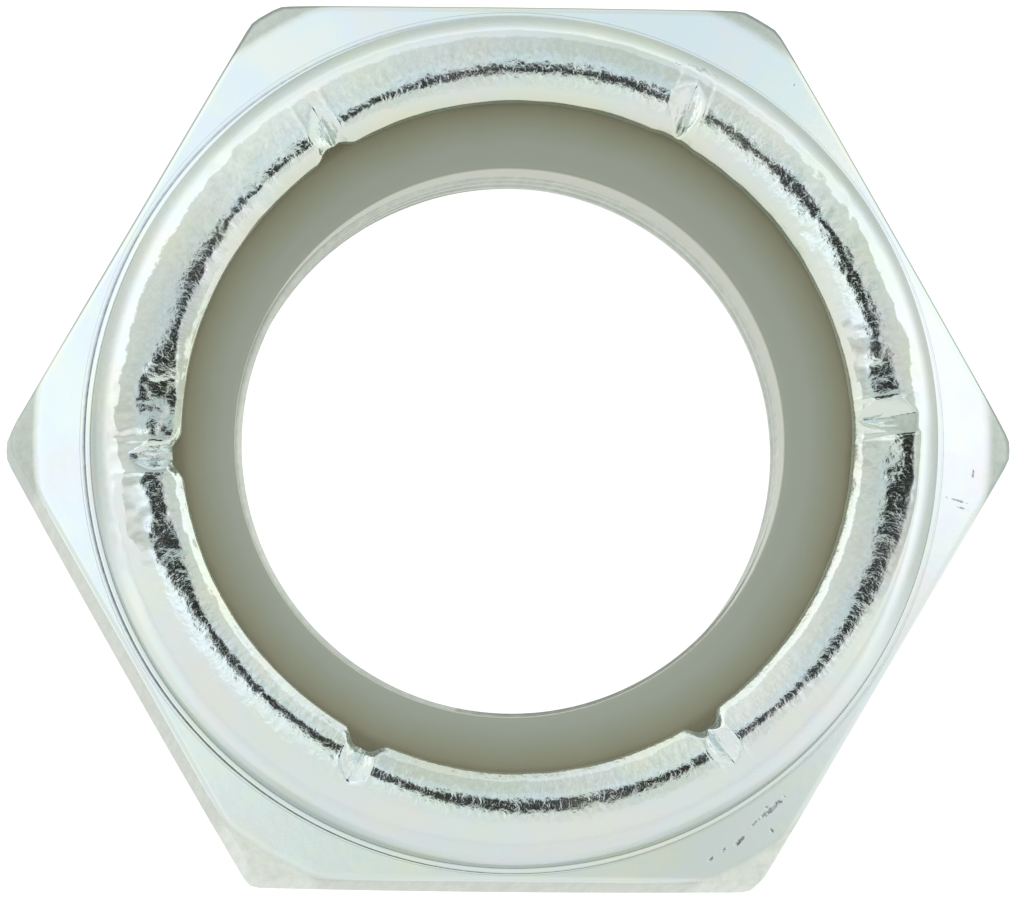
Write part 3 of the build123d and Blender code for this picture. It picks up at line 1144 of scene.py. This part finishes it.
def natural_nylon():
    """Moulded polyamide, undyed.

    The eye gets a satin, slightly translucent grey, warmer and darker towards the lip, painted shade under
    the lip with some staining, and paler on the bore's wall, painted light.
    """
    material, tree = new_material("natural_nylon")
    coordinates = node(tree, "ShaderNodeTexCoord")
    place = coordinates.outputs["Object"]
    split = node(tree, "ShaderNodeSeparateXYZ", {"Vector": place})
    flat = node(tree, "ShaderNodeCombineXYZ", {"X": split.outputs["X"], "Y": split.outputs["Y"]})
    reach = node(
        tree, "ShaderNodeVectorMath", {"Vector": flat.outputs[0]}, operation="LENGTH"
    ).outputs["Value"]
    flow = node(tree, "ShaderNodeTexNoise", {"Vector": place, "Scale": 1 / (NYLON_FLOW * MM), "Detail": 3.0})
    blurred = node(
        tree,
        "ShaderNodeMath",
        {0: flow.outputs["Fac"], 1: NYLON_BLUR * MM, 2: reach},
        operation="MULTIPLY_ADD",
    )
    # Painted shade under the lip: the ring darker and warmer towards the rim, with some staining.
    spread = node(
        tree,
        "ShaderNodeMapRange",
        {"Value": blurred.outputs[0], "From Min": 7.6 * MM, "From Max": 9.3 * MM},
    )
    tone = node(
        tree,
        "ShaderNodeValToRGB",
        {"Fac": spread.outputs["Result"]},
        stops=[
            (0.3, linear("#999f92")),
            (0.6, linear("#919581")),
            (0.88, linear("#8b8a72")),
            (1.0, linear("#7f7b62")),
        ],
    )
    lean = node(tree, "ShaderNodeSeparateXYZ", {"Vector": coordinates.outputs["Normal"]})
    # Painted light: the bore's wall paler.
    bore_light = node(
        tree, "ShaderNodeMapRange", {"Value": lean.outputs["Z"], "From Min": 0.75, "From Max": 0.3}
    )
    tone = node(
        tree,
        "ShaderNodeMix",
        {"Factor": bore_light.outputs["Result"], "A": tone.outputs["Color"], "B": linear("#ced1c3")},
        data_type="RGBA",
    )
    grain = node(
        tree, "ShaderNodeTexNoise", {"Vector": place, "Scale": 1 / (NYLON_GRAIN * MM), "Detail": 2.0}
    )
    bump = node(
        tree,
        "ShaderNodeBump",
        {"Height": grain.outputs["Fac"], "Strength": 0.4, "Distance": NYLON_GRAIN_HEIGHT * MM},
    )
    shader = node(
        tree,
        "ShaderNodeBsdfPrincipled",
        {
            "Base Color": tone.outputs["Result"],
            "Roughness": 0.42,
            "IOR": 1.53,
            "Subsurface Weight": 0.3,
            "Subsurface Radius": (1.0, 1.0, 0.9),
            "Subsurface Scale": 0.5 * MM,
            "Normal": bump.outputs["Normal"],
        },
    )
    node(tree, "ShaderNodeOutputMaterial", {"Surface": shader.outputs[0]})
    return material


def finish_piece(obj, material, solid):
    """Scales a piece to metres, shades it, and gives it its finish and its place in the frame."""
    bpy.ops.object.select_all(action="DESELECT")
    obj.select_set(True)
    bpy.context.view_layer.objects.active = obj
    obj.scale = (MM, MM, MM)
    bpy.ops.object.transform_apply(location=True, rotation=True, scale=True)
    bpy.ops.object.shade_smooth_by_angle(angle=radians(SMOOTH_ANGLE))
    obj.data.materials.clear()
    obj.data.materials.append(material)
    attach(obj, "root")
    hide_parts(solid)


finish_piece(steel_body(), bright_zinc_plated_steel(), "nut_body")
finish_piece(nylon_ring(), natural_nylon(), "nylon_insert")


# ---------------------------------------------------------------- stage
# The room's brightness by bearing, from -180 to 180 degrees: the ring overhead and the walls below it. The
# background's strength, ROOM_STRENGTH, is divided out of them.
RING_TONES = (
    (-180, (1.21, 1.25, 1.33)),
    (-119, (0.95, 1.00, 0.94)),
    (-49, (0.72, 0.74, 0.69)),
    (-14, (1.00, 1.01, 1.04)),
    (10, (1.33, 1.27, 1.34)),
    (33, (1.26, 1.21, 1.26)),
    (52, (0.88, 0.98, 1.04)),
    (72, (0.86, 0.95, 1.00)),
    (105, (1.00, 1.06, 1.13)),
    (180, (1.21, 1.25, 1.33)),
)
WALL_TONES = (
    (-180, (0.88, 0.87, 0.84)),
    (-140, (0.78, 0.78, 0.75)),
    (-105, (0.77, 0.77, 0.74)),
    (-40, (0.77, 0.77, 0.74)),
    (-10, (0.90, 0.90, 0.87)),
    (20, (1.06, 1.07, 1.05)),
    (48, (0.90, 0.92, 0.90)),
    (72, (0.66, 0.69, 0.67)),
    (100, (0.80, 0.82, 0.82)),
    (135, (1.03, 1.03, 1.01)),
    (165, (1.06, 1.06, 1.04)),
    (180, (0.88, 0.87, 0.84)),
)
# By the angle from straight overhead: where the ring gives way to the walls, and the dark round the camera.
RING_EDGE = ((32, 1.0), (41, 0.0))
OVERHEAD = ((10, 0.02), (16, 0.74), (19.5, 0.83), (25, 0.86), (36, 0.85), (43, 1.0))
ROOM_STRENGTH = 1.2
TABLE_WIDTH = 3.0  # metres
# The table's glow: how it falls off towards the near side, as places along Y and brightness.
TABLE_NEAR = -60
TABLE_GLOW = ((-60, 0.60), (-24, 0.72), (-12.5, 0.98), (0, 1.0))


def grey(value):
    """RGBA of an even grey."""
    return (value, value, value, 1)


def light_table():
    """Wide pale floor that glows: an opal table, white under the nut and dimmer towards the near side."""
    floor = start("floor", bpy.ops.mesh.primitive_plane_add, size=TABLE_WIDTH)
    bpy.ops.object.mode_set(mode="OBJECT")
    material, tree = new_material("opal_table")
    place = node(tree, "ShaderNodeTexCoord").outputs["Object"]
    split = node(tree, "ShaderNodeSeparateXYZ", {"Vector": place})
    share = node(
        tree, "ShaderNodeMapRange", {"Value": split.outputs["Y"], "From Min": TABLE_NEAR * MM, "From Max": 0}
    )
    light = node(
        tree,
        "ShaderNodeValToRGB",
        {"Fac": share.outputs["Result"]},
        stops=[(1 - at / TABLE_NEAR, grey(value)) for at, value in TABLE_GLOW],
    )
    shader = node(
        tree,
        "ShaderNodeBsdfPrincipled",
        {
            "Base Color": linear("#808080"),
            "Roughness": 0.8,
            "Emission Color": light.outputs["Color"],
            "Emission Strength": 1.0,
        },
    )
    node(tree, "ShaderNodeOutputMaterial", {"Surface": shader.outputs[0]})
    floor.data.materials.append(material)


def studio_light():
    """Soft room: dark straight overhead where the camera hangs, a bright ring round that, and paler walls."""
    world = bpy.data.worlds.new("studio")
    bpy.context.scene.world = world
    world.use_nodes = True
    tree = world.node_tree
    tree.nodes.clear()
    direction = node(tree, "ShaderNodeTexCoord").outputs["Generated"]
    split = node(tree, "ShaderNodeSeparateXYZ", {"Vector": direction})
    from_zenith = node(tree, "ShaderNodeMath", {0: split.outputs["Z"]}, operation="ARCCOSINE")
    slant = node(tree, "ShaderNodeMath", {0: from_zenith.outputs[0], 1: pi / 2}, operation="DIVIDE")
    azimuth = node(
        tree, "ShaderNodeMath", {0: split.outputs["Y"], 1: split.outputs["X"]}, operation="ARCTAN2"
    )
    turn = node(
        tree, "ShaderNodeMath", {0: azimuth.outputs[0], 1: 1 / (2 * pi), 2: 0.5}, operation="MULTIPLY_ADD"
    )

    ring, walls = [
        node(
            tree,
            "ShaderNodeValToRGB",
            {"Fac": turn.outputs[0]},
            stops=[(at / 360 + 0.5, (*tone, 1)) for at, tone in tones],
        ).outputs["Color"]
        for tones in (RING_TONES, WALL_TONES)
    ]
    height, overhead = [
        node(
            tree,
            "ShaderNodeValToRGB",
            {"Fac": slant.outputs[0]},
            stops=[(at / 90, grey(share)) for at, share in shares],
        ).outputs["Color"]
        for shares in (RING_EDGE, OVERHEAD)
    ]
    room = node(tree, "ShaderNodeMix", {"Factor": height, "A": walls, "B": ring}, data_type="RGBA")
    light = node(
        tree,
        "ShaderNodeMix",
        {"Factor": 1.0, "A": room.outputs["Result"], "B": overhead},
        data_type="RGBA",
        blend_type="MULTIPLY",
    )
    background = node(
        tree, "ShaderNodeBackground", {"Color": light.outputs["Result"], "Strength": ROOM_STRENGTH}
    )
    node(tree, "ShaderNodeOutputWorld", {"Surface": background.outputs[0]})


PICTURE_WIDTH = 1019
PIXELS_PER_MM = 36.82
CAMERA_PLACE = Vector((-33.0, -47.0, 700.0)) * MM
LOOKS_AT = Vector((-0.068, -0.178, HEX_TOP)) * MM
CAMERA_ROLL = 0.41


def camera():
    """Looks down the thread, a few degrees off the axis, as through a long lens."""
    data = bpy.data.cameras.new("camera")
    made = bpy.data.objects.new("camera", data)
    bpy.context.scene.collection.objects.link(made)
    ahead = (LOOKS_AT - CAMERA_PLACE).normalized()
    right = ahead.cross(Vector((0, 1, 0))).normalized()
    aim = Matrix((right, right.cross(ahead), -ahead)).transposed().to_4x4()
    made.matrix_world = Matrix.Translation(CAMERA_PLACE) @ aim @ Matrix.Rotation(radians(CAMERA_ROLL), 4, "Z")
    data.sensor_width = 36
    data.lens = data.sensor_width * PIXELS_PER_MM / MM * (LOOKS_AT - CAMERA_PLACE).length / PICTURE_WIDTH
    data.clip_start = 0.01
    bpy.context.scene.camera = made


light_table()
studio_light()
camera()
bpy.context.scene.view_settings.view_transform = "Standard"
